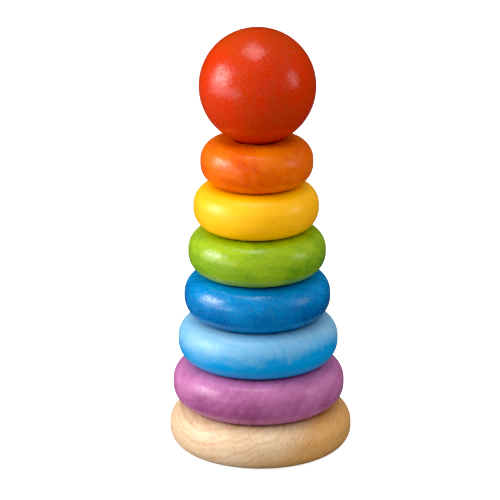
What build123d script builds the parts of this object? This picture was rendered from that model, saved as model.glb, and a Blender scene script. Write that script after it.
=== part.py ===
from build123d import *

import os
from math import radians, sqrt, tan

# Wooden stacking ring toy: a turned base with a glued and screwed post, six rings and a ball.
#
# Millimetres, +Z up. The origin is the centre of the base's underside, on the axis of the post.
# The rings and the ball are loose: each has a bore wider than the post, and rests a little off
# its axis, as a hand leaves it.

# Base: a disc with a blind socket for the post, and a counterbored screw hole below it
BASE_DIAMETER = 92.0
BASE_HEIGHT = 21.5
BASE_TOP_ROUND = 10.5
BASE_FOOT_ROUND = 9.0
SOCKET_DEPTH = 15.0
SOCKET_CHAMFER = 0.6

# Post: a plain dowel with a domed end, on which the rings run with play
POST_DIAMETER = 15.0
POST_ABOVE_RINGS = 24.0
POST_END_ROUND = 5.0
POST_FOOT_CHAMFER = 1.0

# Rings, lowest first: name, outer diameter, and how far the ring lies off the post's axis
RINGS = [
    ("purple_ring", 86.5, -0.9),
    ("light_blue_ring", 80.5, -1.1),
    ("blue_ring", 73.5, -1.4),
    ("green_ring", 69.0, -1.5),
    ("yellow_ring", 62.6, -1.9),
    ("orange_ring", 56.2, -1.5),
]
RING_HEIGHT = 23.0
RING_OUTER_ROUND = 10.5
RING_BORE_DIAMETER = 19.0
RING_BORE_ROUND = 3.0
RING_GAP = 0.05

# Ball: rests on the bore edge of the top ring, with the post's end in its blind hole
BALL_DIAMETER = 58.0
BALL_OFFSET = -1.1
BALL_HOLE_DIAMETER = 18.0
BALL_HOLE_ROUND = 0.7
BALL_HOLE_SPARE = 3.5
BALL_GAP = 0.1

# Post screw: 4 x 35 countersunk wood screw with a cross recess
SCREW_DIAMETER = 4.0
SCREW_CORE_DIAMETER = 2.6
SCREW_LENGTH = 35.0
SCREW_PLAIN_LENGTH = 6.0
SCREW_TIP_LENGTH = 4.0
SCREW_HEAD_DIAMETER = 8.0
SCREW_HEAD_LAND = 0.4
SCREW_HEAD_ANGLE = 90.0
SCREW_HOLE_DIAMETER = 4.2
COUNTERBORE_DIAMETER = 9.5
COUNTERBORE_DEPTH = 2.0
THREAD_PITCH = 1.8
THREAD_CREST = 0.2
THREAD_ROOT = 1.1
THREAD_BITE = 0.25
RECESS_LENGTH = 4.4
RECESS_WIDTH = 1.1
RECESS_DEPTH = 2.0
RECESS_TAPER = 8.0

base_radius = BASE_DIAMETER / 2
post_radius = POST_DIAMETER / 2
bore_radius = RING_BORE_DIAMETER / 2
ball_radius = BALL_DIAMETER / 2
ball_hole_radius = BALL_HOLE_DIAMETER / 2

socket_floor = BASE_HEIGHT - SOCKET_DEPTH
ring_pitch = RING_HEIGHT + RING_GAP
rings_top = BASE_HEIGHT + ring_pitch * len(RINGS)
post_top = rings_top + POST_ABOVE_RINGS

# The ball touches the eased bore edge of the top ring on the side that it has slid towards
seat_radius = bore_radius + RING_BORE_ROUND - abs(BALL_OFFSET - RINGS[-1][2])
seat_reach = ball_radius + RING_BORE_ROUND
ball_centre = rings_top - RING_BORE_ROUND + sqrt(seat_reach**2 - seat_radius**2) + BALL_GAP
ball_hole_top = post_top + BALL_HOLE_SPARE

# The screw stands head down: its head's land lies in the counterbore, and its cone in the countersink
screw_radius = SCREW_DIAMETER / 2
screw_core_radius = SCREW_CORE_DIAMETER / 2
screw_head_radius = SCREW_HEAD_DIAMETER / 2
screw_cone_height = (screw_head_radius - screw_radius) / tan(radians(SCREW_HEAD_ANGLE / 2))
screw_face_z = COUNTERBORE_DEPTH - SCREW_HEAD_LAND
screw_tip_z = screw_face_z + SCREW_LENGTH
thread_depth = screw_radius - screw_core_radius
thread_start_z = screw_face_z + SCREW_PLAIN_LENGTH
thread_length = SCREW_LENGTH - SCREW_PLAIN_LENGTH - SCREW_TIP_LENGTH


def section_plane(offset_x=0.0, z=0.0):
    """The upright plane through a piece's own axis: local x is its radius, and local y its height."""
    return Plane(origin=(offset_x, 0, z), x_dir=(1, 0, 0), z_dir=(0, -1, 0))


def upright_axis(offset_x):
    """A vertical axis that stands offset_x from the post's axis."""
    return Axis((offset_x, 0, 0), (0, 0, 1))


def write_piece(part, name):
    """Labels a finished piece and writes it to its own STEP file."""
    part.label = name
    export_step(part, f"parts/{name}.step")


def turned_ring(outer_diameter, offset_x, z):
    """A ring turned from a board: a full outer edge, flat faces and an eased bore."""
    wall = outer_diameter / 2 - bore_radius
    with BuildPart() as ring:
        with BuildSketch(section_plane(offset_x, z)) as section:
            with Locations((bore_radius, 0)):
                Rectangle(wall, RING_HEIGHT, align=(Align.MIN, Align.MIN))
            fillet(section.vertices().group_by(Axis.X)[0], RING_BORE_ROUND)
            fillet(section.vertices().group_by(Axis.X)[-1], RING_OUTER_ROUND)
        revolve(axis=upright_axis(offset_x))
    return ring


os.makedirs("parts", exist_ok=True)

# Base disc: a thick disc with a full rounded rim, flat below
with BuildPart() as base:
    with BuildSketch(section_plane()) as base_section:
        Rectangle(base_radius, BASE_HEIGHT, align=(Align.MIN, Align.MIN))
        fillet(base_section.vertices().group_by(Axis.X)[-1].sort_by(Axis.Y)[0], BASE_FOOT_ROUND)
        fillet(base_section.vertices().group_by(Axis.X)[-1].sort_by(Axis.Y)[-1], BASE_TOP_ROUND)
    revolve(axis=Axis.Z)
    with Locations((0, 0, BASE_HEIGHT)):
        Hole(post_radius, depth=SOCKET_DEPTH)
    top_edges = base.edges().filter_by(GeomType.CIRCLE).group_by(Axis.Z)[-1]
    chamfer(top_edges.sort_by(SortBy.RADIUS)[0], SOCKET_CHAMFER)
    with Locations(Location((0, 0, 0), (180, 0, 0))):
        CounterBoreHole(SCREW_HOLE_DIAMETER / 2, COUNTERBORE_DIAMETER / 2, COUNTERBORE_DEPTH)
    with Locations(Location((0, 0, COUNTERBORE_DEPTH), (180, 0, 0))):
        CounterSinkHole(SCREW_HOLE_DIAMETER / 2, screw_head_radius, socket_floor, SCREW_HEAD_ANGLE)
write_piece(base.part, "base_disc")

# Post: a dowel glued into the base, with a pilot hole for the screw in its foot
with BuildPart() as post:
    with BuildSketch(Plane.XY.offset(socket_floor)):
        Circle(post_radius)
    extrude(amount=post_top - socket_floor)
    fillet(post.edges().filter_by(GeomType.CIRCLE).group_by(Axis.Z)[-1], POST_END_ROUND)
    chamfer(post.edges().filter_by(GeomType.CIRCLE).group_by(Axis.Z)[0], POST_FOOT_CHAMFER)
    with Locations(Location((0, 0, socket_floor), (180, 0, 0))):
        Hole(screw_core_radius, depth=screw_tip_z - socket_floor)
write_piece(post.part, "post")

# Post screw: head, shank and core turned as one, with a helical thread and a cross recess
with BuildPart() as screw:
    with BuildSketch(section_plane(z=screw_face_z)):
        with BuildLine():
            Polyline(
                (0, 0),
                (screw_head_radius, 0),
                (screw_head_radius, SCREW_HEAD_LAND),
                (screw_radius, SCREW_HEAD_LAND + screw_cone_height),
                (screw_radius, SCREW_PLAIN_LENGTH - thread_depth),
                (screw_core_radius, SCREW_PLAIN_LENGTH),
                (screw_core_radius, SCREW_LENGTH - SCREW_TIP_LENGTH),
                (0, SCREW_LENGTH),
                close=True,
            )
        make_face()
    revolve(axis=Axis.Z)
    with BuildLine() as thread_path:
        Helix(THREAD_PITCH, thread_length, screw_core_radius, center=(0, 0, thread_start_z))
    thread_start = thread_path.line @ 0
    with BuildSketch(Plane(origin=thread_start, x_dir=(1, 0, 0), z_dir=thread_path.line % 0)):
        with BuildLine():
            Polyline(
                (-THREAD_BITE, -THREAD_ROOT / 2),
                (thread_depth, -THREAD_CREST / 2),
                (thread_depth, THREAD_CREST / 2),
                (-THREAD_BITE, THREAD_ROOT / 2),
                close=True,
            )
        make_face()
    sweep(path=thread_path.line, is_frenet=True)
    with BuildSketch(Plane.XY.offset(screw_face_z)):
        Rectangle(RECESS_LENGTH, RECESS_WIDTH)
        Rectangle(RECESS_WIDTH, RECESS_LENGTH)
    extrude(amount=RECESS_DEPTH, taper=RECESS_TAPER, mode=Mode.SUBTRACT)
write_piece(screw.part, "post_screw")

# Rings, stacked from the largest up
rings = {}
for level, (ring_name, ring_diameter, ring_offset) in enumerate(RINGS):
    ring_z = BASE_HEIGHT + RING_GAP + level * ring_pitch
    rings[ring_name] = turned_ring(ring_diameter, ring_offset, ring_z)
    write_piece(rings[ring_name].part, ring_name)

# Ball: a sphere with a blind hole drilled up from below
with BuildPart() as ball:
    with Locations((BALL_OFFSET, 0, ball_centre)):
        Sphere(ball_radius)
    with Locations(Location((BALL_OFFSET, 0, ball_centre - ball_radius), (180, 0, 0))):
        Hole(ball_hole_radius, depth=ball_hole_top - ball_centre + ball_radius)
    fillet(ball.edges().filter_by(GeomType.CIRCLE).group_by(Axis.Z)[0], BALL_HOLE_ROUND)
write_piece(ball.part, "red_ball")

print(f"rings top {rings_top:.2f}, post top {post_top:.2f}, ball bottom {ball_centre - ball_radius:.2f}")
print(f"total height {ball_centre + ball_radius:.2f}")
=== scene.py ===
import logging
import math
from dataclasses import dataclass, field
from enum import Enum
from typing import NamedTuple

import bpy
from mathutils import Euler, Matrix, Vector


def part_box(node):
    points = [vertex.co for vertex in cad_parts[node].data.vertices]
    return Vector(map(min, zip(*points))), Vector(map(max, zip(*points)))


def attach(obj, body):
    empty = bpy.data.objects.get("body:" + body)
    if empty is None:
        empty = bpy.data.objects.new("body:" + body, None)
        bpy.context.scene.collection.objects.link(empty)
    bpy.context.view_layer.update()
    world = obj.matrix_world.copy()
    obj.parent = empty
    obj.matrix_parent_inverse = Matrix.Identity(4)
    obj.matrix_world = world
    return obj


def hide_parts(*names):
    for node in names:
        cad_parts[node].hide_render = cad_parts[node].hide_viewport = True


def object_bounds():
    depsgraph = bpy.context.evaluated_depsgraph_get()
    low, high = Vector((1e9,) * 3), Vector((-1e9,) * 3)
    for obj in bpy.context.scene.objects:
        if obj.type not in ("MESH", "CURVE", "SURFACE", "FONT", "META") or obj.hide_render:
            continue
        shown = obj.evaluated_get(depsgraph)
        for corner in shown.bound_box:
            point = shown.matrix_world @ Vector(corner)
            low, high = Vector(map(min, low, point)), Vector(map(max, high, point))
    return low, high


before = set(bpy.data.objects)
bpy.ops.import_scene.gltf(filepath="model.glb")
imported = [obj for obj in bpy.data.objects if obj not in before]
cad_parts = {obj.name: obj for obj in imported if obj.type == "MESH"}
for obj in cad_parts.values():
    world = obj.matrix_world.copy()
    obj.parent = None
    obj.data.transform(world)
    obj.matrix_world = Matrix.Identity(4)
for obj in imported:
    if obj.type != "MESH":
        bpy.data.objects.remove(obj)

log = logging.getLogger("stacking_toy")

MM = 0.001
CAD_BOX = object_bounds()
WHITE = (1.0, 1.0, 1.0, 1.0)

Colour = tuple[float, float, float]
Feed = bpy.types.NodeSocket | float | int | tuple | None


class Grain(Enum):
    """The way a blank's fibres run, as the turn that brings them onto the pattern's own x axis."""

    LEFT_TO_RIGHT = (0.0, 0.0, 0.0)
    FRONT_TO_BACK = (0.0, 0.0, 90.0)
    ASLANT = (0.0, 0.0, 35.0)
    UP = (0.0, 90.0, 0.0)


class Net:
    """A node tree in the making: it adds nodes, sets what they take and joins them."""

    def __init__(self, tree: bpy.types.NodeTree) -> None:
        """Takes over an empty tree.

        Args:
            tree: The node tree to fill.
        """
        self.tree = tree

    @classmethod
    def group(cls, name: str, kind: str, takes: dict[str, tuple], gives: dict[str, str]) -> "Net":
        """Starts a node group with named sockets.

        Args:
            name: The group's name.
            kind: The tree's type, for shaders or for geometry.
            takes: Input name to its socket type and, where it has one, its default.
            gives: Output name to its socket type.

        Returns:
            The net of the new group.
        """
        tree = bpy.data.node_groups.new(name, kind)
        for label, (socket_type, *default) in takes.items():
            socket = tree.interface.new_socket(name=label, in_out="INPUT", socket_type=socket_type)
            if default:
                socket.default_value = default[0]
        for label, socket_type in gives.items():
            tree.interface.new_socket(name=label, in_out="OUTPUT", socket_type=socket_type)
        return cls(tree)

    def feed(self, socket: bpy.types.NodeSocket, value: Feed) -> None:
        """Joins a socket to another, or sets its value.

        Args:
            socket: The input to fill.
            value: An output socket to join, a plain value, or None to leave the input alone.
        """
        if isinstance(value, bpy.types.NodeSocket):
            self.tree.links.new(value, socket)
        elif value is not None:
            socket.default_value = value

    def add(self, kind: str, takes: dict | None = None, **settings: object) -> bpy.types.Node:
        """Adds a node.

        Args:
            kind: The node's type.
            takes: Input name or number to its feed.
            **settings: Properties of the node.

        Returns:
            The new node.
        """
        node = self.tree.nodes.new(kind)
        for key, value in settings.items():
            setattr(node, key, value)
        for key, value in (takes or {}).items():
            self.feed(node.inputs[key], value)
        return node

    def maths(self, operation: str, *terms: Feed, clamp: bool = False) -> bpy.types.NodeSocket:
        """Works out a number from one to three terms, and returns its socket."""
        node = self.add("ShaderNodeMath", dict(enumerate(terms)), operation=operation, use_clamp=clamp)
        return node.outputs[0]

    def vector(self, operation: str, *terms: Feed) -> bpy.types.NodeSocket:
        """Works out a vector, or a length, from one or two vectors, and returns its socket."""
        node = self.add("ShaderNodeVectorMath", dict(enumerate(terms)), operation=operation)
        return node.outputs["Value" if operation in {"LENGTH", "DOT_PRODUCT"} else "Vector"]

    def scaled(self, vector: Feed, by: Feed) -> bpy.types.NodeSocket:
        """Scales a vector by a number, and returns its socket."""
        node = self.add("ShaderNodeVectorMath", {"Vector": vector, "Scale": by}, operation="SCALE")
        return node.outputs["Vector"]

    def eased(
        self, value: Feed, low: Feed, high: Feed, to_low: Feed = 0.0, to_high: Feed = 1.0
    ) -> bpy.types.NodeSocket:
        """Maps a value smoothly from one range onto another.

        Args:
            value: The value to map.
            low: Where the change starts.
            high: Where the change ends.
            to_low: The result at or before the start.
            to_high: The result at or after the end.

        Returns:
            The result's socket.
        """
        takes = {"Value": value, "From Min": low, "From Max": high, "To Min": to_low, "To Max": to_high}
        return self.add("ShaderNodeMapRange", takes, interpolation_type="SMOOTHSTEP").outputs["Result"]

    def mix(self, factor: Feed, first: Feed, second: Feed, blend: str = "MIX") -> bpy.types.NodeSocket:
        """Mixes two colours.

        Args:
            factor: How much of the second shows.
            first: The first colour.
            second: The second colour.
            blend: The way they are mixed.

        Returns:
            The mixed colour's socket.
        """
        node = self.add("ShaderNodeMix", None, data_type="RGBA", blend_type=blend)
        for place, value in ((0, factor), (6, first), (7, second)):
            self.feed(node.inputs[place], value)
        return node.outputs[2]

    def noise(
        self, vector: Feed, scale: Feed, detail: float = 2.0, rough: float = 0.5, distortion: float = 0.0
    ) -> bpy.types.NodeSocket:
        """Adds a noise pattern, and returns its value's socket."""
        shape = {"Scale": scale, "Detail": detail, "Roughness": rough, "Distortion": distortion}
        return self.add("ShaderNodeTexNoise", {"Vector": vector, **shape}).outputs[0]

    def bump(self, height: Feed, depth: float) -> bpy.types.NodeSocket:
        """Turns a height into a surface normal, for a relief in metres, and returns its socket."""
        takes = {"Height": height, "Distance": depth, "Strength": 1.0}
        return self.add("ShaderNodeBump", takes).outputs[0]

    def use(self, group: "Net", takes: dict[str, Feed]) -> bpy.types.Node:
        """Places a finished group of shader nodes in this tree, and returns its node."""
        return self.add("ShaderNodeGroup", takes, node_tree=group.tree)


def linear(red: int, green: int, blue: int) -> Colour:
    """Turns a colour as a paint chart gives it, 0 to 255, into a shader's linear values."""
    shares = (channel / 255 for channel in (red, green, blue))
    return tuple(s / 12.92 if s <= 0.04045 else ((s + 0.055) / 1.055) ** 2.4 for s in shares)


def solid(colour: Colour) -> tuple[float, float, float, float]:
    """The colour with full cover, as a colour socket takes it."""
    return (*colour, 1.0)


# ---------------------------------------------------------------- patterns that several finishes share

# The range that a noise mostly stays in, and a narrower one for a harder mask.
NOISE_SPAN = (0.3, 0.7)
NARROW_SPAN = (0.35, 0.65)

# How often a pattern repeats in a millimetre, along the fibres and in the two directions across them.
SWAY = (0.012, 0.03, 0.03)
FINE_FIBRE = (0.05, 1.4, 1.4)
BROAD_FIBRE = (0.02, 0.35, 0.35)

# How often a pattern repeats in a millimetre, in the two directions across a piece's axis and along it.
LACQUER_SMEAR = (0.05, 0.05, 0.09)
SCRATCHES = (0.7, 9.0, 2.0)

# How far a pattern moves with each step of its seed, in millimetres.
FIGURE_STEP = (17.3, 31.7, 11.9)
MARKS_STEP = (5.1, 9.7, 3.3)
LACQUER_STEP = (3.7, 8.1, 5.9)


def wood_figure() -> Net:
    """The figure of a blank of wood, in the solid: growth rings, fibres, pores, blotches and end grain.

    Its vector is in metres, with the fibres along x and the pith on the x axis. Its facing is the
    surface's normal, turned in the same way.

    Returns:
        The finished group.
    """
    net = Net.group(
        "wood_figure",
        "ShaderNodeTree",
        {
            "Vector": ("NodeSocketVector",),
            "Facing": ("NodeSocketVector",),
            "Ring Width": ("NodeSocketFloat", 5.0),
            "Waver": ("NodeSocketFloat", 3.0),
            "Heart Radius": ("NodeSocketFloat", 0.0),
            "Pore Length": ("NodeSocketFloat", 3.0),
            "Pore Spacing": ("NodeSocketFloat", 1.1),
            "Pore Width": ("NodeSocketFloat", 0.2),
            "Blotch Size": ("NodeSocketFloat", 18.0),
            "Seed": ("NodeSocketFloat", 0.0),
        },
        {
            "Growth": "NodeSocketFloat",
            "Heartwood": "NodeSocketFloat",
            "Fibre": "NodeSocketFloat",
            "Pores": "NodeSocketFloat",
            "Blotch": "NodeSocketFloat",
            "End Grain": "NodeSocketFloat",
        },
    )
    given = net.add("NodeGroupInput").outputs
    shift = net.scaled(FIGURE_STEP, given["Seed"])
    place = net.scaled(given["Vector"], 1 / MM)
    elsewhere = net.vector("ADD", place, shift)

    # The rings waver round the pith.
    drift = net.vector("MULTIPLY", elsewhere, SWAY)
    sway = net.add("ShaderNodeTexNoise", {"Vector": drift, "Scale": 1.0, "Detail": 2.0}).outputs["Color"]
    both_ways = net.maths("MULTIPLY", given["Waver"], 2.0)
    sway = net.scaled(net.vector("SUBTRACT", sway, (0.5, 0.5, 0.5)), both_ways)
    off_axis = net.vector("MULTIPLY", net.vector("ADD", place, sway), (0.0, 1.0, 1.0))
    from_pith = net.vector("LENGTH", off_axis)

    # A ring darkens slowly to its late wood and ends at once, and some years are fainter than others.
    darkening, ending, faintest = (0.2, 0.85), (1.0, 0.86), 0.35
    turn = net.maths("DIVIDE", from_pith, given["Ring Width"])
    part = net.maths("FRACT", turn)
    number = net.maths("FLOOR", turn)
    year = net.add("ShaderNodeTexWhiteNoise", {"W": number}, noise_dimensions="1D").outputs[0]
    late = net.maths("MULTIPLY", net.eased(part, *darkening), net.eased(part, *ending))
    growth = net.maths("MULTIPLY", late, net.eased(year, 0.0, 1.0, faintest, 1.0))

    # The heartwood's edge is soft.
    outside, inside = (net.maths("MULTIPLY", given["Heart Radius"], share) for share in (1.15, 0.85))
    heartwood = net.eased(from_pith, outside, inside)

    fine = net.noise(net.vector("MULTIPLY", elsewhere, FINE_FIBRE), 1.0, detail=3.0, rough=0.6)
    broad = net.noise(net.vector("MULTIPLY", elsewhere, BROAD_FIBRE), 1.0)
    fine_share = 0.6
    fibre = net.maths(
        "ADD", net.maths("MULTIPLY", fine, fine_share), net.maths("MULTIPLY", broad, 1 - fine_share)
    )

    # Each cell may hold one pore, of a width of its own, and a third of the cells hold none.
    spacing = {"X": given["Pore Length"], "Y": given["Pore Spacing"], "Z": given["Pore Spacing"]}
    cells = net.vector("DIVIDE", elsewhere, net.add("ShaderNodeCombineXYZ", spacing).outputs[0])
    pore = net.add("ShaderNodeTexVoronoi", {"Vector": cells, "Scale": 1.0}).outputs
    chance = net.add("ShaderNodeSeparateXYZ", {0: pore["Color"]}).outputs[0]
    empty = 0.35
    width = net.maths("DIVIDE", given["Pore Width"], given["Pore Spacing"])
    width = net.maths("MULTIPLY", width, net.eased(chance, empty, 1.0))
    rim, bottom = (net.maths("MULTIPLY", width, share) for share in (1.4, 0.4))
    pores = net.eased(pore["Distance"], rim, bottom)

    # Blotches are longer along the fibres.
    stretched = net.vector("MULTIPLY", elsewhere, (0.6, 1.0, 1.0))
    cloud = net.vector("DIVIDE", stretched, given["Blotch Size"])
    blotch = net.noise(cloud, 1.0, detail=4.0, rough=0.6, distortion=0.6)
    blotch = net.eased(blotch, *NOISE_SPAN)

    # A surface that faces within about 57 degrees of the fibres begins to show end grain.
    along = net.add("ShaderNodeSeparateXYZ", {0: given["Facing"]}).outputs[0]
    end_grain = net.eased(net.maths("ABSOLUTE", along), 0.55, 1.0)

    masks = {"Growth": growth, "Heartwood": heartwood, "Fibre": fibre, "Pores": pores}
    net.add("NodeGroupOutput", {**masks, "Blotch": blotch, "End Grain": end_grain})
    return net


def bench_marks() -> Net:
    """Where a turned piece is bored and where it is rubbed, and a painted shade that deepens its stain
    towards the foot.

    Returns:
        The finished group.
    """
    net = Net.group(
        "bench_marks",
        "ShaderNodeTree",
        {
            "Vector": ("NodeSocketVector",),
            "Bore Radius": ("NodeSocketFloat", 9.5),
            "Bore Top": ("NodeSocketFloat", 23.0),
            "Rim Radius": ("NodeSocketFloat", 40.0),
            "Seed": ("NodeSocketFloat", 0.0),
        },
        {
            "Bore": "NodeSocketFloat",
            "Drill Marks": "NodeSocketFloat",
            "Rub": "NodeSocketFloat",
            "Scuff": "NodeSocketFloat",
            "Settled": "NodeSocketFloat",
        },
    )
    given = net.add("NodeGroupInput").outputs
    place = net.scaled(given["Vector"], 1 / MM)
    across = net.vector("LENGTH", net.vector("MULTIPLY", place, (1.0, 1.0, 0.0)))
    parts = net.add("ShaderNodeSeparateXYZ", {0: place}).outputs
    shifted = net.vector("ADD", place, net.scaled(MARKS_STEP, given["Seed"]))

    # The raw wood of the bore has a ragged, soft edge. Both widths are in millimetres.
    creep, blur = 1.2, 0.35
    ragged = net.noise(place, 0.5)
    edge = net.maths("ADD", given["Bore Radius"], net.maths("MULTIPLY", ragged, creep))
    under = net.maths("LESS_THAN", parts[2], given["Bore Top"])
    bore = net.maths("MULTIPLY", under, net.eased(across, net.maths("ADD", edge, blur), edge))

    # The drill's marks climb the bore in a helix, by the radians of turn in a millimetre of height.
    pitch = 9.0
    round_angle = net.maths("ARCTAN2", parts[1], parts[0])
    helix = net.maths("SINE", net.maths("ADD", net.maths("MULTIPLY", parts[2], pitch), round_angle))
    chatter = net.noise(place, 1.2)
    drilled = net.maths("MULTIPLY", net.maths("ADD", helix, chatter), bore)

    # Faces that lie level are rubbed in clouds.
    level = (0.985, 0.999)
    facing = net.add("ShaderNodeNewGeometry").outputs["Normal"]
    upright = net.maths("ABSOLUTE", net.add("ShaderNodeSeparateXYZ", {0: facing}).outputs[2])
    flat = net.eased(upright, *level)
    cloud = net.noise(shifted, 0.16, detail=3.0)
    rub = net.maths("MULTIPLY", flat, net.eased(cloud, *NARROW_SPAN))

    # The rim is scuffed in specks.
    inner_share, speckled = 0.93, (0.6, 0.72)
    rim_start = net.maths("MULTIPLY", given["Rim Radius"], inner_share)
    near_rim = net.eased(across, rim_start, given["Rim Radius"])
    specks = net.eased(net.noise(shifted, 0.9, detail=4.0, rough=0.7), *speckled)
    scuff = net.maths("MULTIPLY", near_rim, specks)

    # Painted shade: the stain is made deeper towards the foot, with an uneven edge. Heights are shares of
    # the bore's.
    unevenness, foot_shade_span = 0.4, (1.0, 0.48)
    share = net.maths("DIVIDE", parts[2], given["Bore Top"])
    patches = net.noise(shifted, 0.05, detail=4.0, rough=0.7)
    uneven = net.maths("MULTIPLY", patches, unevenness)
    foot_shade = net.eased(net.maths("ADD", share, uneven), *foot_shade_span)

    masks = {"Bore": bore, "Drill Marks": drilled, "Rub": rub, "Scuff": scuff, "Settled": foot_shade}
    net.add("NodeGroupOutput", masks)
    return net


def lacquer_skin() -> Net:
    """The skin of a thin sprayed lacquer: small waves and grains that break up a highlight.

    Returns:
        The finished group.
    """
    net = Net.group(
        "lacquer_skin",
        "ShaderNodeTree",
        {
            "Vector": ("NodeSocketVector",),
            "Grain Size": ("NodeSocketFloat", 1.3),
            "Seed": ("NodeSocketFloat", 0.0),
        },
        {"Height": "NodeSocketFloat", "Dullness": "NodeSocketFloat"},
    )
    given = net.add("NodeGroupInput").outputs
    shift = net.scaled(LACQUER_STEP, given["Seed"])
    place = net.vector("ADD", net.scaled(given["Vector"], 1 / MM), shift)
    grains = net.noise(net.vector("DIVIDE", place, given["Grain Size"]), 1.0, detail=1.0)
    waves = net.noise(place, 0.22)
    wave_share, grain_share = 0.8, 0.6
    height = net.maths("ADD", grains, net.maths("MULTIPLY", waves, wave_share))
    smear = net.noise(net.vector("MULTIPLY", place, LACQUER_SMEAR), 1.0, detail=4.0, rough=0.6)
    dullness = net.maths(
        "ADD", net.maths("MULTIPLY", grains, grain_share), net.maths("MULTIPLY", smear, 1 - grain_share)
    )
    net.add("NodeGroupOutput", {"Height": height, "Dullness": dullness})
    return net


@dataclass(frozen=True)
class Patterns:
    """The groups that the finishes share, each built once."""

    figure: Net = field(default_factory=wood_figure)
    marks: Net = field(default_factory=bench_marks)
    skin: Net = field(default_factory=lacquer_skin)


# ---------------------------------------------------------------- finishes


@dataclass(frozen=True)
class Blank:
    """How a piece was cut from its blank of wood: where its figure lies, and how coarse it is.

    The pith's place and all sizes are in millimetres, the lean in degrees.
    """

    grain: Grain
    seed: float
    pith: tuple[float, float] = (35.0, -60.0)
    lean: float = 0.0
    ring_width: float = 5.0
    waver: float = 3.0
    heart_radius: float = 0.0
    pore_length: float = 3.0
    pore_spacing: float = 1.1
    pore_width: float = 0.2
    blotch: float = 18.0

    def figure(self, net: Net, patterns: Patterns) -> bpy.types.Node:
        """Lays the wood's figure in a material.

        Args:
            net: The material's net.
            patterns: The shared groups.

        Returns:
            The figure's node, with its masks as outputs.
        """
        where = net.add("ShaderNodeTexCoord").outputs["Object"]
        angles = [math.radians(a) for a in self.grain.value]
        angles[2] += math.radians(self.lean)
        turn = Euler(angles)
        across, below = self.pith
        takes = {"Vector": where, "Rotation": turn, "Location": (0.0, across * MM, below * MM)}
        laid = net.add("ShaderNodeMapping", takes, vector_type="POINT").outputs[0]
        normal = net.add("ShaderNodeNewGeometry").outputs["Normal"]
        takes = {"Vector": normal, "Rotation": turn}
        facing = net.add("ShaderNodeMapping", takes, vector_type="VECTOR")
        return net.use(
            patterns.figure,
            {
                "Vector": laid,
                "Facing": facing.outputs[0],
                "Ring Width": self.ring_width,
                "Waver": self.waver,
                "Heart Radius": self.heart_radius,
                "Pore Length": self.pore_length,
                "Pore Spacing": self.pore_spacing,
                "Pore Width": self.pore_width,
                "Blotch Size": self.blotch,
                "Seed": self.seed,
            },
        )


@dataclass(frozen=True)
class Turning:
    """Where a turned piece stands: its axis, its foot, its bore and its rim's radius, in metres."""

    axis_x: float
    foot_z: float
    bore: float
    bore_top: float
    rim: float

    def centred(self, net: Net) -> bpy.types.NodeSocket:
        """Moves Object coordinates to the piece's own axis and foot.

        Args:
            net: The material's net.

        Returns:
            The moved coordinates' socket.
        """
        where = net.add("ShaderNodeTexCoord").outputs["Object"]
        takes = {"Vector": where, "Location": (-self.axis_x, 0.0, -self.foot_z)}
        return net.add("ShaderNodeMapping", takes, vector_type="POINT").outputs[0]

    def marks(self, net: Net, patterns: Patterns, seed: float) -> bpy.types.Node:
        """Lays the bore's and the hands' marks in a material.

        Args:
            net: The material's net.
            patterns: The shared groups.
            seed: The seed of the marks.

        Returns:
            The marks' node, with its masks as outputs.
        """
        return net.use(
            patterns.marks,
            {
                "Vector": self.centred(net),
                "Bore Radius": self.bore / MM,
                "Bore Top": self.bore_top / MM,
                "Rim Radius": self.rim / MM,
                "Seed": seed,
            },
        )


def new_material(name: str) -> tuple[bpy.types.Material, Net, bpy.types.Node]:
    """Starts a material with an empty surface shader.

    Args:
        name: The material's name.

    Returns:
        The material, its net and its surface shader's node.
    """
    material = bpy.data.materials.new(name)
    material.use_nodes = True
    material.node_tree.nodes.clear()
    net = Net(material.node_tree)
    shader = net.add("ShaderNodeBsdfPrincipled")
    net.add("ShaderNodeOutputMaterial", {"Surface": shader.outputs[0]})
    return material, net, shader


class Masks(NamedTuple):
    """The outputs of the groups laid in one wooden finish."""

    figure: bpy.types.NodeOutputs
    marks: bpy.types.NodeOutputs
    skin: bpy.types.NodeOutputs


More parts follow.
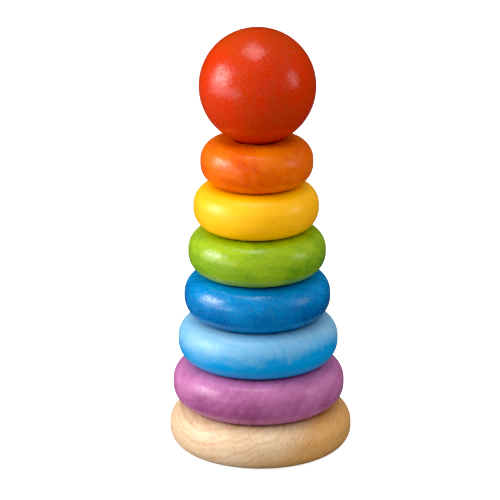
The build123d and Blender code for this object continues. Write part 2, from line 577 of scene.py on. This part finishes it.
@dataclass(frozen=True, kw_only=True)
class LacqueredWood:
    """What the wooden finishes share: a blank, a satin skin, and marks that roughen and shape it.

    The relief is in millimetres, and each height is a share of it. Each rough value is what its mark
    adds to the skin's roughness.
    """

    name: str
    blank: Blank
    dull: float
    dull_spread: tuple[float, float]
    gloss: float
    relief: float
    bore_rough: float = 0.0
    pore_rough: float = 0.2
    skin_height: float = 1.0
    fibre_height: float = 0.5
    pore_height: float = -1.2
    drill_height: float = 1.2

    def lay(self, net: Net, patterns: Patterns, turning: Turning) -> Masks:
        """Lays the wood's figure, the marks and the lacquer's skin in the material.

        Args:
            net: The material's net.
            patterns: The shared groups.
            turning: Where the piece stands.

        Returns:
            Their masks.
        """
        figure = self.blank.figure(net, patterns).outputs
        marks = turning.marks(net, patterns, self.blank.seed).outputs
        skin = net.use(patterns.skin, {"Vector": turning.centred(net), "Seed": self.blank.seed}).outputs
        return Masks(figure, marks, skin)

    def seal(self, net: Net, shader: bpy.types.Node, masks: Masks) -> None:
        """Lacquers the wood: sets the surface's roughness, its relief and its gloss.

        Args:
            net: The material's net.
            shader: The surface shader's node.
            masks: The masks laid in the material.
        """
        figure, marks, skin = masks
        sleekest, dullest = (self.dull + share for share in self.dull_spread)
        rough = net.eased(skin["Dullness"], *NOISE_SPAN, sleekest, dullest)
        for mark, share in ((marks["Bore"], self.bore_rough), (figure["Pores"], self.pore_rough)):
            rough = net.maths("ADD", rough, net.maths("MULTIPLY", mark, share), clamp=True)
        net.feed(shader.inputs["Roughness"], rough)

        height = net.maths("MULTIPLY", skin["Height"], self.skin_height)
        for mark, share in (
            (figure["Fibre"], self.fibre_height),
            (figure["Pores"], self.pore_height),
            (marks["Drill Marks"], self.drill_height),
        ):
            height = net.maths("ADD", height, net.maths("MULTIPLY", mark, share))
        net.feed(shader.inputs["Normal"], net.bump(height, self.relief * MM))
        shader.inputs["IOR"].default_value = self.gloss


@dataclass(frozen=True, kw_only=True)
class StainedWood(LacqueredWood):
    """Wood stained through its open grain and sealed with a thin satin lacquer.

    Each share says how much of its mask shows in the stain.
    """

    pale: Colour
    deep: Colour
    patchy: float = 0.5
    streaky: float = 0.25
    banded: float = 0.12
    soaked: float = 0.25
    # Painted shade: how much deeper the stain is made towards the piece's foot.
    foot_shade: float = 0.15
    porous: float = 0.35
    scuffed: float = 0.03
    rubbed: float = 0.1
    bare: float = 0.6
    unstained: float = 0.55
    pore_shade: Colour = (0.35, 0.3, 0.3)
    scuff_tone: Colour = (0.95, 0.85, 0.7)
    rub_shade: Colour = (0.3, 0.25, 0.22)
    raw_tone: Colour = (0.62, 0.45, 0.28)
    dull: float = 0.25
    dull_spread: tuple[float, float] = (-0.1, 0.12)
    gloss: float = 1.54
    relief: float = 0.085
    bore_rough: float = 0.3

    def material(self, patterns: Patterns, turning: Turning) -> bpy.types.Material:
        """Makes the finish for one turned piece.

        Args:
            patterns: The shared groups.
            turning: Where the piece stands.

        Returns:
            The material.
        """
        material, net, shader = new_material(self.name)
        masks = self.lay(net, patterns, turning)
        figure, marks, _ = masks

        take_up = net.maths("MULTIPLY", figure["Blotch"], self.patchy)
        for mask, share in (
            (net.eased(figure["Fibre"], *NARROW_SPAN), self.streaky),
            (figure["Growth"], self.banded),
            (figure["End Grain"], self.soaked),
            # Painted shade: the stain deepens towards the foot.
            (marks["Settled"], self.foot_shade),
        ):
            take_up = net.maths("ADD", take_up, net.maths("MULTIPLY", mask, share), clamp=True)
        colour = net.mix(take_up, solid(self.pale), solid(self.deep))
        for mask, share, tone, blend in (
            (figure["Pores"], self.porous, self.pore_shade, "MULTIPLY"),
            (marks["Scuff"], self.scuffed, self.scuff_tone, "MIX"),
            (marks["Rub"], self.rubbed, self.rub_shade, "MULTIPLY"),
        ):
            colour = net.mix(net.maths("MULTIPLY", mask, share), colour, solid(tone), blend)
        raw = net.mix(self.unstained, colour, solid(self.raw_tone))
        colour = net.mix(net.maths("MULTIPLY", marks["Bore"], self.bare), colour, raw)
        net.feed(shader.inputs["Base Color"], colour)
        self.seal(net, shader, masks)
        return material


@dataclass(frozen=True, kw_only=True)
class ClearWood(LacqueredWood):
    """Bare pale wood under clear lacquer or oil, with its growth rings and pores in sight.

    Each share says how much of its mask shows in the wood's tone.
    """

    outer: Colour
    inner: Colour
    late: Colour
    pore: Colour
    banding: float = 0.7
    streaky: float = 0.4
    cloudy: float = 0.3
    tinted: float = 0.5
    porous: float = 0.6
    rubbed: float = 0.12
    rub_shade: Colour = (0.6, 0.5, 0.4)
    dull: float = 0.4
    dull_spread: tuple[float, float] = (-0.06, 0.1)
    gloss: float = 1.5
    relief: float = 0.06
    skin_height: float = 0.5
    fibre_height: float = 0.6
    pore_height: float = -1.0
    drill_height: float = 0.8

    def material(self, patterns: Patterns, turning: Turning) -> bpy.types.Material:
        """Makes the finish for one turned piece.

        Args:
            patterns: The shared groups.
            turning: Where the piece stands.

        Returns:
            The material.
        """
        material, net, shader = new_material(self.name)
        masks = self.lay(net, patterns, turning)
        figure, marks, _ = masks

        bands = net.maths("MULTIPLY", figure["Growth"], self.banding)
        streaks = net.eased(figure["Fibre"], 0.35, 0.7, 0.0, self.streaky)
        clouds = net.maths("MULTIPLY", figure["Blotch"], self.cloudy)
        tone = net.maths("ADD", net.maths("ADD", bands, streaks), clouds, clamp=True)
        # Heart and outer wood; on the base this also stands in as painted shade, tan towards the lower
        # right.
        colour = net.mix(figure["Heartwood"], solid(self.outer), solid(self.inner))
        colour = net.mix(tone, colour, net.mix(self.tinted, colour, solid(self.late)))
        pore_share = net.maths("MULTIPLY", figure["Pores"], self.porous)
        colour = net.mix(pore_share, colour, solid(self.pore))
        rub_share = net.maths("MULTIPLY", marks["Rub"], self.rubbed)
        colour = net.mix(rub_share, colour, solid(self.rub_shade), "MULTIPLY")
        net.feed(shader.inputs["Base Color"], colour)
        self.seal(net, shader, masks)
        return material


@dataclass(frozen=True)
class PlatedSteel:
    """Zinc-plated steel, spangled and a little scratched by the driver. The relief is in millimetres."""

    name: str
    bright: Colour
    tarnish: Colour
    dull: float = 0.32
    dull_spread: tuple[float, float] = (-0.08, 0.16)
    relief: float = 0.01

    def material(self) -> bpy.types.Material:
        """Makes the finish.

        Returns:
            The material.
        """
        material, net, shader = new_material(self.name)
        where = net.scaled(net.add("ShaderNodeTexCoord").outputs["Object"], 1 / MM)
        spangle = net.noise(where, 1.6, detail=3.0)
        scratch = net.noise(net.vector("MULTIPLY", where, SCRATCHES), 1.0, detail=4.0, rough=0.7)
        cloud = net.eased(spangle, 0.35, 0.7)
        net.feed(shader.inputs["Base Color"], net.mix(cloud, solid(self.bright), solid(self.tarnish)))
        sleekest, dullest = (self.dull + share for share in self.dull_spread)
        net.feed(shader.inputs["Roughness"], net.eased(scratch, *NOISE_SPAN, sleekest, dullest))
        net.feed(shader.inputs["Normal"], net.bump(scratch, self.relief * MM))
        shader.inputs["Metallic"].default_value = 1.0
        return material


# ---------------------------------------------------------------- the lathe


@dataclass
class Section:
    """Half of a turned piece's outline, from which the lathe turns it. Radii and heights in metres."""

    points: list[tuple[float, float]] = field(default_factory=list)
    step: float = 0.9 * MM

    def to(self, radius: float, height: float) -> "Section":
        """Runs straight to a point, in short steps.

        Args:
            radius: The point's radius.
            height: The point's height.

        Returns:
            The section.
        """
        if self.points:
            start = Vector(self.points[-1])
            run = Vector((radius, height)) - start
            count = max(1, math.ceil(run.length / self.step))
            self.points += [tuple(start + run * k / count) for k in range(1, count + 1)]
        else:
            self.points.append((radius, height))
        return self

    def arc(self, centre: tuple[float, float], radius: float, start: float, end: float) -> "Section":
        """Runs round an arc, with a straight run up to its start.

        Args:
            centre: The arc's centre, as radius and height.
            radius: The arc's radius.
            start: The angle it starts at, in degrees from the outward direction towards the top.
            end: The angle it ends at.

        Returns:
            The section.
        """
        count = max(4, math.ceil(abs(math.radians(end - start)) * radius / self.step))
        angles = [math.radians(start + (end - start) * k / count) for k in range(count + 1)]
        spots = [(centre[0] + radius * math.cos(a), centre[1] + radius * math.sin(a)) for a in angles]
        if self.points:
            self.to(*spots[0])
        self.points += spots[1:] if self.points else spots
        return self

    def close(self) -> "Section":
        """Runs back to the first point, and returns the section."""
        return self.to(*self.points[0])


class Lathe:
    """Turns sections into pieces with one Geometry Nodes tree."""

    SEAM_GAP = 0.0001 * MM
    SANDING_SIZE = 22 * MM

    def __init__(self, steps_round: int = 240) -> None:
        """Builds the tree.

        Args:
            steps_round: The number of faces round a piece.
        """
        self.steps_round = steps_round
        self.net = Net.group(
            "turned_piece",
            "GeometryNodeTree",
            {
                "Section": ("NodeSocketGeometry",),
                "Steps Round": ("NodeSocketInt", steps_round),
                "Axis X": ("NodeSocketFloat", 0.0),
                "Sanding Depth": ("NodeSocketFloat", 0.0),
                "Sanding Size": ("NodeSocketFloat", 0.02),
                "Seed": ("NodeSocketInt", 0),
                "Finish": ("NodeSocketMaterial",),
            },
            {"Piece": "NodeSocketGeometry"},
        )
        self.wire()

    def wire(self) -> None:
        """Wires the tree: a sheet is wrapped round the axis, closed, sanded and finished."""
        net = self.net
        given = net.add("NodeGroupInput").outputs
        takes = {"Geometry": self.wrap(given), "Distance": self.SEAM_GAP}
        closed = net.add("GeometryNodeMergeByDistance", takes).outputs[0]
        sanded = self.sand(closed, given)
        smooth = net.add("GeometryNodeSetShadeSmooth", {"Geometry": sanded}).outputs[0]
        whole = net.add("GeometryNodeRealizeInstances", {"Geometry": smooth}).outputs[0]
        takes = {"Geometry": whole, "Material": given["Finish"]}
        dressed = net.add("GeometryNodeSetMaterial", takes).outputs[0]
        net.add("NodeGroupOutput", {"Piece": dressed})

    def wrap(self, given: bpy.types.NodeOutputs) -> bpy.types.NodeSocket:
        """Wraps a flat sheet round the axis, each of its rows at the section's point of the same number.

        The sheet is one metre square about its centre, so its edges lie half a metre out.

        Args:
            given: The tree's inputs.

        Returns:
            The wrapped sheet's socket.
        """
        net = self.net
        rows = net.add("GeometryNodeAttributeDomainSize", {0: given["Section"]}).outputs["Point Count"]
        columns = net.maths("ADD", given["Steps Round"], 1.0)
        takes = {"Size X": 1.0, "Size Y": 1.0, "Vertices X": columns, "Vertices Y": rows}
        sheet = net.add("GeometryNodeMeshGrid", takes).outputs["Mesh"]
        at = net.add("GeometryNodeInputPosition").outputs[0]
        spot = net.add("ShaderNodeSeparateXYZ", {0: at}).outputs
        round_share, up_share = (net.maths("ADD", spot[k], 0.5) for k in (0, 1))
        angle = net.maths("MULTIPLY", round_share, math.tau)
        last = net.maths("SUBTRACT", rows, 1.0)
        row = net.maths("ROUND", net.maths("MULTIPLY", up_share, last))
        takes = {"Geometry": given["Section"]}
        sample = net.add("GeometryNodeSampleIndex", takes, data_type="FLOAT_VECTOR", domain="POINT")
        net.feed(sample.inputs["Value"], at)
        net.feed(sample.inputs["Index"], row)
        outline = net.add("ShaderNodeSeparateXYZ", {0: sample.outputs[0]}).outputs
        east = net.maths("MULTIPLY", outline[0], net.maths("COSINE", angle))
        east = net.maths("ADD", east, given["Axis X"])
        north = net.maths("MULTIPLY", outline[0], net.maths("SINE", angle))
        wrapped = net.add("ShaderNodeCombineXYZ", {"X": east, "Y": north, "Z": outline[2]}).outputs[0]
        return net.add("GeometryNodeSetPosition", {"Geometry": sheet, "Position": wrapped}).outputs[0]

    def sand(self, closed: bpy.types.NodeSocket, given: bpy.types.NodeOutputs) -> bpy.types.NodeSocket:
        """Sands a closed piece inwards, in shallow waves.

        Args:
            closed: The piece's socket.
            given: The tree's inputs.

        Returns:
            The sanded piece's socket.
        """
        net = self.net
        at = net.add("GeometryNodeInputPosition").outputs[0]
        size = net.maths("DIVIDE", 1.0, given["Sanding Size"])
        takes = {"Vector": at, "Scale": size, "Detail": 2.0, "W": given["Seed"]}
        worn = net.add("ShaderNodeTexNoise", takes, noise_dimensions="4D").outputs[0]
        depth = net.maths("MULTIPLY", given["Sanding Depth"], -1.0)
        inward = net.maths("MULTIPLY", net.eased(worn, 0.25, 0.75), depth)
        cut = net.scaled(net.add("GeometryNodeInputNormal").outputs[0], inward)
        return net.add("GeometryNodeSetPosition", {"Geometry": closed, "Offset": cut}).outputs[0]

    def turn(
        self,
        name: str,
        section: Section,
        finish: bpy.types.Material,
        axis_x: float = 0.0,
        sanding: float = 0.06,
        seed: int = 1,
    ) -> bpy.types.Object:
        """Turns a section into a finished piece with a plain mesh.

        Args:
            name: The piece's name.
            section: Its outline.
            finish: Its material.
            axis_x: How far its axis stands from the post's.
            sanding: The depth of the hand sanding's waves, in millimetres.
            seed: The seed of those waves.

        Returns:
            The piece.
        """
        outline = bpy.data.meshes.new(name + "_section")
        spots = [(r, 0.0, z) for r, z in section.points]
        outline.from_pydata(spots, [(k, k + 1) for k in range(len(spots) - 1)], [])
        blank = bpy.data.objects.new(name + "_blank", outline)
        bpy.context.scene.collection.objects.link(blank)
        lathe = blank.modifiers.new("lathe", "NODES")
        lathe.node_group = self.net.tree
        settings = {
            "Steps Round": self.steps_round,
            "Axis X": axis_x,
            "Sanding Depth": sanding * MM,
            "Sanding Size": self.SANDING_SIZE,
            "Seed": seed,
            "Finish": finish,
        }
        for socket in self.net.tree.interface.items_tree:
            if socket.in_out == "INPUT" and socket.name in settings:
                lathe[socket.identifier] = settings[socket.name]
        ready = blank.evaluated_get(bpy.context.evaluated_depsgraph_get())
        mesh = bpy.data.meshes.new_from_object(ready)
        mesh.name = name
        bpy.data.objects.remove(blank)
        bpy.data.meshes.remove(outline)
        piece = bpy.data.objects.new(name, mesh)
        bpy.context.scene.collection.objects.link(piece)
        return piece


def settle(piece: bpy.types.Object, node: str, body: str) -> None:
    """Gives a piece its body, hides the CAD node that it stands for, and reports it.

    Args:
        piece: The finished piece.
        node: The CAD node that it replaces.
        body: The body that it rides on.
    """
    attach(piece, body)
    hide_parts(node)
    log.info("%s: %d faces, on %s", piece.name, len(piece.data.polygons), body)


# ---------------------------------------------------------------- the toy


@dataclass
class Stand:
    """The base with its post and the screw that holds it. Sizes in millimetres."""

    top_round: float = 10.5
    foot_round: float = 9.0
    socket_radius: float = 7.5
    socket_depth: float = 15.0
    counterbore_radius: float = 4.75
    counterbore_depth: float = 2.0
    countersink_radius: float = 4.0
    screw_hole_radius: float = 2.1
    edge: float = 0.35
    post_round: float = 5.0
    post_chamfer: float = 1.0
    pilot_radius: float = 1.3
    pilot_top: float = 36.6
    # Partly real heartwood and outer wood, partly painted shade: the pith is placed so the pale heart
    # lies to the upper left and the tan outer wood to the lower right, away from the left softbox.
    base_finish: ClearWood = ClearWood(
        name="lacquered_rubberwood",
        outer=linear(212, 162, 96),
        inner=linear(222, 196, 162),
        late=linear(178, 112, 54),
        pore=linear(140, 74, 34),
        blank=Blank(
            Grain.FRONT_TO_BACK, seed=3.0, pith=(24.0, -58.0), ring_width=2.6, waver=9.0,
            heart_radius=60.0, pore_length=2.4, pore_spacing=0.9, pore_width=0.32,
        ),
        banding=0.45,
        porous=0.5,
    )
    post_finish: ClearWood = ClearWood(
        name="oiled_beech",
        outer=linear(224, 194, 156),
        inner=linear(218, 184, 144),
        late=linear(190, 142, 96),
        pore=linear(168, 118, 80),
        blank=Blank(
            Grain.UP, seed=8.0, pith=(30.0, 22.0), ring_width=2.6, waver=1.0,
            pore_length=2.2, pore_spacing=0.8, pore_width=0.18,
        ),
        dull=0.42,
    )
    screw_finish: PlatedSteel = PlatedSteel(
        "zinc_plate", bright=linear(205, 208, 214), tarnish=linear(176, 174, 160)
    )

    def base_section(self) -> Section:
        """Draws the base, from the counterbore's edge out round the rim, in through the socket and back.

        Returns:
            The section.
        """
        low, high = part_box("base_disc")
        rim, top = high.x, high.z
        bore, edge = self.counterbore_radius * MM, self.edge * MM
        foot, crown, socket = self.foot_round * MM, self.top_round * MM, self.socket_radius * MM
        floor = top - self.socket_depth * MM
        seat = self.counterbore_depth * MM
        sink, hole = self.countersink_radius * MM, self.screw_hole_radius * MM
        section = Section()
        section.arc((bore + edge, low.z + edge), edge, 180.0, 270.0)
        section.arc((rim - foot, low.z + foot), foot, -90.0, 0.0)
        section.arc((rim - crown, top - crown), crown, 0.0, 90.0)
        section.arc((socket + edge, top - edge), edge, 90.0, 180.0)
        section.to(socket, floor).to(hole, floor)
        section.to(hole, seat + sink - hole).to(sink, seat).to(bore, seat)
        return section.close()

    def post_section(self) -> Section:
        """Draws the post, from its pilot hole's end down the hole, out round the foot and up to the dome.

        Returns:
            The section.
        """
        low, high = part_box("post")
        side, ease, dome = high.x, self.post_chamfer * MM, self.post_round * MM
        pilot, pilot_end = self.pilot_radius * MM, self.pilot_top * MM
        section = Section().to(0.0, pilot_end).to(pilot, pilot_end).to(pilot, low.z)
        section.to(side - ease, low.z).to(side, low.z + ease)
        return section.arc((side - dome, high.z - dome), dome, 0.0, 90.0).to(0.0, high.z)

    def build(self, lathe: Lathe, patterns: Patterns) -> None:
        """Turns the base and the post, and plates the screw.

        Args:
            lathe: The lathe.
            patterns: The shared groups.
        """
        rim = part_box("base_disc")[1].x
        # The rim's radius is more than the base's height, so the whole socket counts as bored.
        turning = Turning(0.0, 0.0, self.socket_radius * MM, bore_top=rim, rim=rim)
        finish = self.base_finish.material(patterns, turning)
        base = lathe.turn("base", self.base_section(), finish, seed=11)
        settle(base, "base_disc", "stand")
        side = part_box("post")[1].x
        turning = Turning(0.0, 0.0, self.pilot_radius * MM, self.pilot_top * MM, side)
        finish = self.post_finish.material(patterns, turning)
        post = lathe.turn("dowel_post", self.post_section(), finish, sanding=0.03, seed=12)
        settle(post, "post", "stand")
        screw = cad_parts["post_screw"]
        screw.data.materials.clear()
        screw.data.materials.append(self.screw_finish.material())
        log.info("%s: the CAD solid, with its plating", screw.name)


@dataclass
class StackRing:
    """One loose ring. Sizes in millimetres."""

    node: str
    slot: str
    finish: StainedWood
    seed: int
    rim_round: float = 10.5
    bore_radius: float = 9.5
    bore_round: float = 3.0

    def section(self) -> Section:
        """Draws the ring, from the bore's lower edge out round the rim and back down the bore.

        Returns:
            The section.
        """
        low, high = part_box(self.node)
        rim = (high.x - low.x) / 2
        bore, ease, full = self.bore_radius * MM, self.bore_round * MM, self.rim_round * MM
        section = Section()
        section.arc((bore + ease, low.z + ease), ease, 180.0, 270.0)
        section.arc((rim - full, low.z + full), full, -90.0, 0.0)
        section.arc((rim - full, high.z - full), full, 0.0, 90.0)
        section.arc((bore + ease, high.z - ease), ease, 90.0, 180.0)
        return section.close()

    def build(self, lathe: Lathe, patterns: Patterns) -> None:
        """Turns and stains the ring.

        Args:
            lathe: The lathe.
            patterns: The shared groups.
        """
        low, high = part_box(self.node)
        axis_x = (low.x + high.x) / 2
        turning = Turning(axis_x, low.z, self.bore_radius * MM, high.z - low.z, (high.x - low.x) / 2)
        finish = self.finish.material(patterns, turning)
        piece = lathe.turn("turned_" + self.node, self.section(), finish, axis_x, seed=self.seed)
        settle(piece, self.node, self.node + "_body")


@dataclass
class TopBall:
    """The ball, with the blind hole that drops over the post's end. Sizes in millimetres."""

    finish: StainedWood
    hole_radius: float = 9.0
    mouth_round: float = 0.7
    spare: float = 3.5
    drill_point: float = 0.8

    def hole_end(self) -> float:
        """How high the hole reaches, a little above the post's end, in metres."""
        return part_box("post")[1].z + self.spare * MM

    def section(self) -> Section:
        """Draws the ball, from the hole's end down to its mouth and out round the ball to the top.

        Returns:
            The section.
        """
        low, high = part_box("red_ball")
        radius = (high.x - low.x) / 2
        centre, hole, ease = high.z - radius, self.hole_radius * MM, self.mouth_round * MM
        mouth_x = hole + ease
        mouth_z = centre - math.sqrt((radius - ease) ** 2 - mouth_x**2)
        lip = math.degrees(math.atan2(mouth_z - centre, mouth_x))
        end, point = self.hole_end(), self.drill_point * MM
        section = Section().to(0.0, end + point).to(point, end).to(hole, end)
        section.arc((mouth_x, mouth_z), ease, -180.0, lip)
        return section.arc((0.0, centre), radius, lip, 90.0)

    def build(self, lathe: Lathe, patterns: Patterns) -> None:
        """Turns and stains the ball.

        Args:
            lathe: The lathe.
            patterns: The shared groups.
        """
        low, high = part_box("red_ball")
        axis_x = (low.x + high.x) / 2
        hole_depth = self.hole_end() + self.drill_point * MM - low.z
        turning = Turning(axis_x, low.z, self.hole_radius * MM, hole_depth, (high.x - low.x) / 2)
        finish = self.finish.material(patterns, turning)
        piece = lathe.turn("turned_ball", self.section(), finish, axis_x, seed=31)
        settle(piece, "red_ball", "red_ball_body")


def rings() -> list[StackRing]:
    """Lists the six rings from the lowest up, each with its own stain and its own blank.

    Returns:
        The rings.
    """
    # The stains deepen towards each ring's foot as painted shade, most on the light blue ring.
    stains = {
        "purple": StainedWood(
            name="purple_stain",
            pale=linear(192, 118, 168),
            deep=linear(126, 52, 100),
            blank=Blank(Grain.FRONT_TO_BACK, seed=21.0, lean=14.0, blotch=13.0),
            patchy=0.25, streaky=0.15, foot_shade=0.25, dull=0.3, gloss=1.48,
        ),
        "light_blue": StainedWood(
            name="light_blue_stain",
            pale=linear(134, 183, 210),
            deep=linear(0, 144, 208),
            blank=Blank(Grain.ASLANT, seed=22.0, lean=12.0, pore_spacing=1.3),
            patchy=0.25, streaky=0.15, foot_shade=0.8, dull=0.33, gloss=1.44,
        ),
        "blue": StainedWood(
            name="blue_stain",
            pale=linear(0, 140, 206),
            deep=linear(0, 86, 150),
            blank=Blank(Grain.LEFT_TO_RIGHT, seed=23.0, lean=8.0),
            patchy=0.4, foot_shade=0.4, dull=0.26, gloss=1.6,
        ),
        "green": StainedWood(
            name="green_stain",
            pale=linear(166, 190, 32),
            deep=linear(90, 140, 28),
            blank=Blank(Grain.ASLANT, seed=24.0, lean=-10.0, pore_spacing=1.2, blotch=16.0),
            patchy=0.4, foot_shade=0.3, porous=0.45,
        ),
        "yellow": StainedWood(
            name="yellow_stain",
            pale=linear(250, 190, 22),
            deep=linear(236, 160, 8),
            blank=Blank(Grain.LEFT_TO_RIGHT, seed=25.0, lean=20.0, blotch=24.0),
            patchy=0.4, streaky=0.1, porous=0.12, dull=0.32, gloss=1.42,
        ),
        "orange": StainedWood(
            name="orange_stain",
            pale=linear(234, 120, 8),
            deep=linear(208, 66, 4),
            blank=Blank(Grain.FRONT_TO_BACK, seed=26.0, lean=6.0, blotch=20.0),
            patchy=0.45, porous=0.12, dull=0.3, gloss=1.45,
        ),
    }
    return [
        StackRing(f"{name}_ring", f"{name}_wood", stain, seed)
        for seed, (name, stain) in enumerate(stains.items(), start=21)
    ]


def ball() -> TopBall:
    """Makes the red ball, turned with its fibres upright.

    Returns:
        The ball.
    """
    # Its stain deepens towards the foot by the default share, as painted shade of the ball's underside.
    stain = StainedWood(
        name="red_stain",
        pale=linear(204, 40, 10),
        deep=linear(182, 58, 14),
        blank=Blank(Grain.UP, seed=30.0, pith=(40.0, 35.0), ring_width=4.0, blotch=22.0),
        patchy=0.5, streaky=0.35, soaked=0.5, porous=0.05, dull=0.26, gloss=1.47,
    )
    return TopBall(stain)


# ---------------------------------------------------------------- the studio


@dataclass(frozen=True)
class SoftBox:
    """A soft light, by where it stands from the toy and how it is shaped. Metres, degrees and watts."""

    name: str
    direction: tuple[float, float, float]
    distance: float
    width: float
    height: float
    power: float

    def place(self, target: Vector) -> None:
        """Sets the light up, facing a point.

        Args:
            target: The point.
        """
        lamp = bpy.data.lights.new(self.name, "AREA")
        lamp.shape = "RECTANGLE"
        lamp.size, lamp.size_y = self.width, self.height
        lamp.energy = self.power
        towards = Vector(self.direction).normalized()
        light = bpy.data.objects.new(self.name, lamp)
        facing = towards.to_track_quat("Z", "Y").to_matrix().to_4x4()
        light.matrix_world = Matrix.Translation(target + towards * self.distance) @ facing
        bpy.context.scene.collection.objects.link(light)


@dataclass
class Studio:
    """A white table under soft light, with the camera that looks at the toy.

    Metres and degrees, with the lens and its sensor in millimetres. The table and the room each have one
    brightness for what they light and a lower one, the sheen, for what is mirrored in the toy. The lights
    aim at a share of the toy's height.
    """

    floor_radius: float = 4.0
    floor_opening: float = 0.035
    room: float = 0.97
    room_sheen: float = 0.02
    table_bounce: float = 0.4
    table_sheen: float = 0.04
    table_white: float = 0.9
    table_dull: float = 0.7
    table_glow: float = 0.75
    lights_aim: float = 0.6
    camera_distance: float = 1.4
    camera_height: float = 0.1
    camera_elevation: float = 18.15
    camera_yaw: float = -0.206
    camera_pitch: float = 0.073
    camera_roll: float = -0.128
    lens: float = 201.7
    sensor: float = 36.0
    black_level: float = 0.012
    boxes: tuple[SoftBox, ...] = (
        SoftBox("left_softbox", (-0.922, -0.162, 0.354), 0.9, 0.5, 0.36, 5.8),
        SoftBox("left_wall", (-0.92, -0.38, -0.02), 0.95, 1.2, 0.32, 3.0),
        SoftBox("top_softbox", (-0.088, -0.09, 0.991), 1.8, 1.0, 0.8, 10.0),
        SoftBox("right_softbox", (0.926, -0.223, 0.303), 0.9, 0.2, 0.32, 0.7),
    )

    def table_finish(self) -> bpy.types.Material:
        """Makes the table's white, which is clear from below.

        It glows a little for the camera, so that the table meets the room without an edge.

        Returns:
            The material.
        """
        material = bpy.data.materials.new("white_table")
        material.use_nodes = True
        material.node_tree.nodes.clear()
        net = Net(material.node_tree)
        path = net.add("ShaderNodeLightPath").outputs
        shares = (self.table_bounce, self.table_sheen, self.table_white)
        bounced, mirrored, seen = (solid((share, share, share)) for share in shares)
        unseen = net.mix(path["Is Glossy Ray"], bounced, mirrored)
        shown_to = net.mix(path["Is Camera Ray"], unseen, seen)
        takes = {"Roughness": self.table_dull, "Emission Color": WHITE, "Specular IOR Level": 0.0}
        shader = net.add("ShaderNodeBsdfPrincipled", takes)
        net.feed(shader.inputs["Base Color"], shown_to)
        glow = net.maths("MULTIPLY", path["Is Camera Ray"], self.table_glow)
        net.feed(shader.inputs["Emission Strength"], glow)
        clear = net.add("ShaderNodeBsdfTransparent")
        behind = net.add("ShaderNodeNewGeometry").outputs["Backfacing"]
        shown = net.add("ShaderNodeMixShader", {0: behind, 1: shader.outputs[0], 2: clear.outputs[0]})
        net.add("ShaderNodeOutputMaterial", {"Surface": shown.outputs[0]})
        return material

    def lay_floor(self) -> None:
        """Lays the white table.

        It is open under the base, so that the base's underside is lit when the toy is looked at from
        below.
        """
        mesh = bpy.data.meshes.new("table_top")
        spots = 64
        radii = (self.floor_opening, self.floor_radius)
        angles = [math.tau * k / spots for k in range(spots)]
        corners = [(r * math.cos(a), r * math.sin(a), 0.0) for r in radii for a in angles]
        faces = [(k, spots + k, spots + (k + 1) % spots, (k + 1) % spots) for k in range(spots)]
        mesh.from_pydata(corners, [], faces)
        mesh.materials.append(self.table_finish())
        floor = bpy.data.objects.new("table_top", mesh)
        bpy.context.scene.collection.objects.link(floor)

    def light_room(self) -> None:
        """Fills the room with even light, and shows it white to the camera."""
        world = bpy.data.worlds.new("white_room")
        world.use_nodes = True
        world.node_tree.nodes.clear()
        net = Net(world.node_tree)
        path = net.add("ShaderNodeLightPath").outputs
        unseen = net.eased(path["Is Glossy Ray"], 0.0, 1.0, self.room, self.room_sheen)
        strength = net.eased(path["Is Camera Ray"], 0.0, 1.0, unseen, 1.0)
        sky = net.add("ShaderNodeBackground", {"Color": WHITE, "Strength": strength})
        net.add("ShaderNodeOutputWorld", {"Surface": sky.outputs[0]})
        bpy.context.scene.world = world

    def set_camera(self) -> None:
        """Sets the camera up in front of the toy."""
        lens = bpy.data.cameras.new("camera")
        lens.sensor_fit, lens.sensor_width, lens.lens = "HORIZONTAL", self.sensor, self.lens
        camera = bpy.data.objects.new("camera", lens)
        rise = math.radians(self.camera_elevation)
        back = Vector((0.0, -math.cos(rise), math.sin(rise))) * self.camera_distance
        turn = Matrix.Rotation(math.pi / 2 - rise, 4, "X")
        turns = ((-self.camera_yaw, "Y"), (self.camera_pitch, "X"), (self.camera_roll, "Z"))
        for angle, axis in turns:
            turn = turn @ Matrix.Rotation(math.radians(angle), 4, axis)
        target = Vector((0.0, 0.0, self.camera_height))
        camera.matrix_world = Matrix.Translation(target + back) @ turn
        bpy.context.scene.collection.objects.link(camera)
        bpy.context.scene.camera = camera

    def build(self) -> None:
        """Sets up the table, the light and the camera."""
        self.lay_floor()
        self.light_room()
        target = Vector((0.0, 0.0, CAD_BOX[1].z * self.lights_aim))
        for box in self.boxes:
            box.place(target)
        self.set_camera()
        look = bpy.context.scene.view_settings
        look.view_transform = "Standard"
        look.use_curve_mapping = True
        look.curve_mapping.black_level = [self.black_level] * 3
        log.info("studio: %d soft lights", len(self.boxes))


def main() -> None:
    """Builds the toy from the stand up, then the studio."""
    logging.basicConfig(level=logging.INFO, format="%(name)s: %(message)s")
    patterns = Patterns()
    lathe = Lathe()
    Stand().build(lathe, patterns)
    for ring in rings():
        ring.build(lathe, patterns)
    ball().build(lathe, patterns)
    Studio().build()


if __name__ == "__main__":
    main()
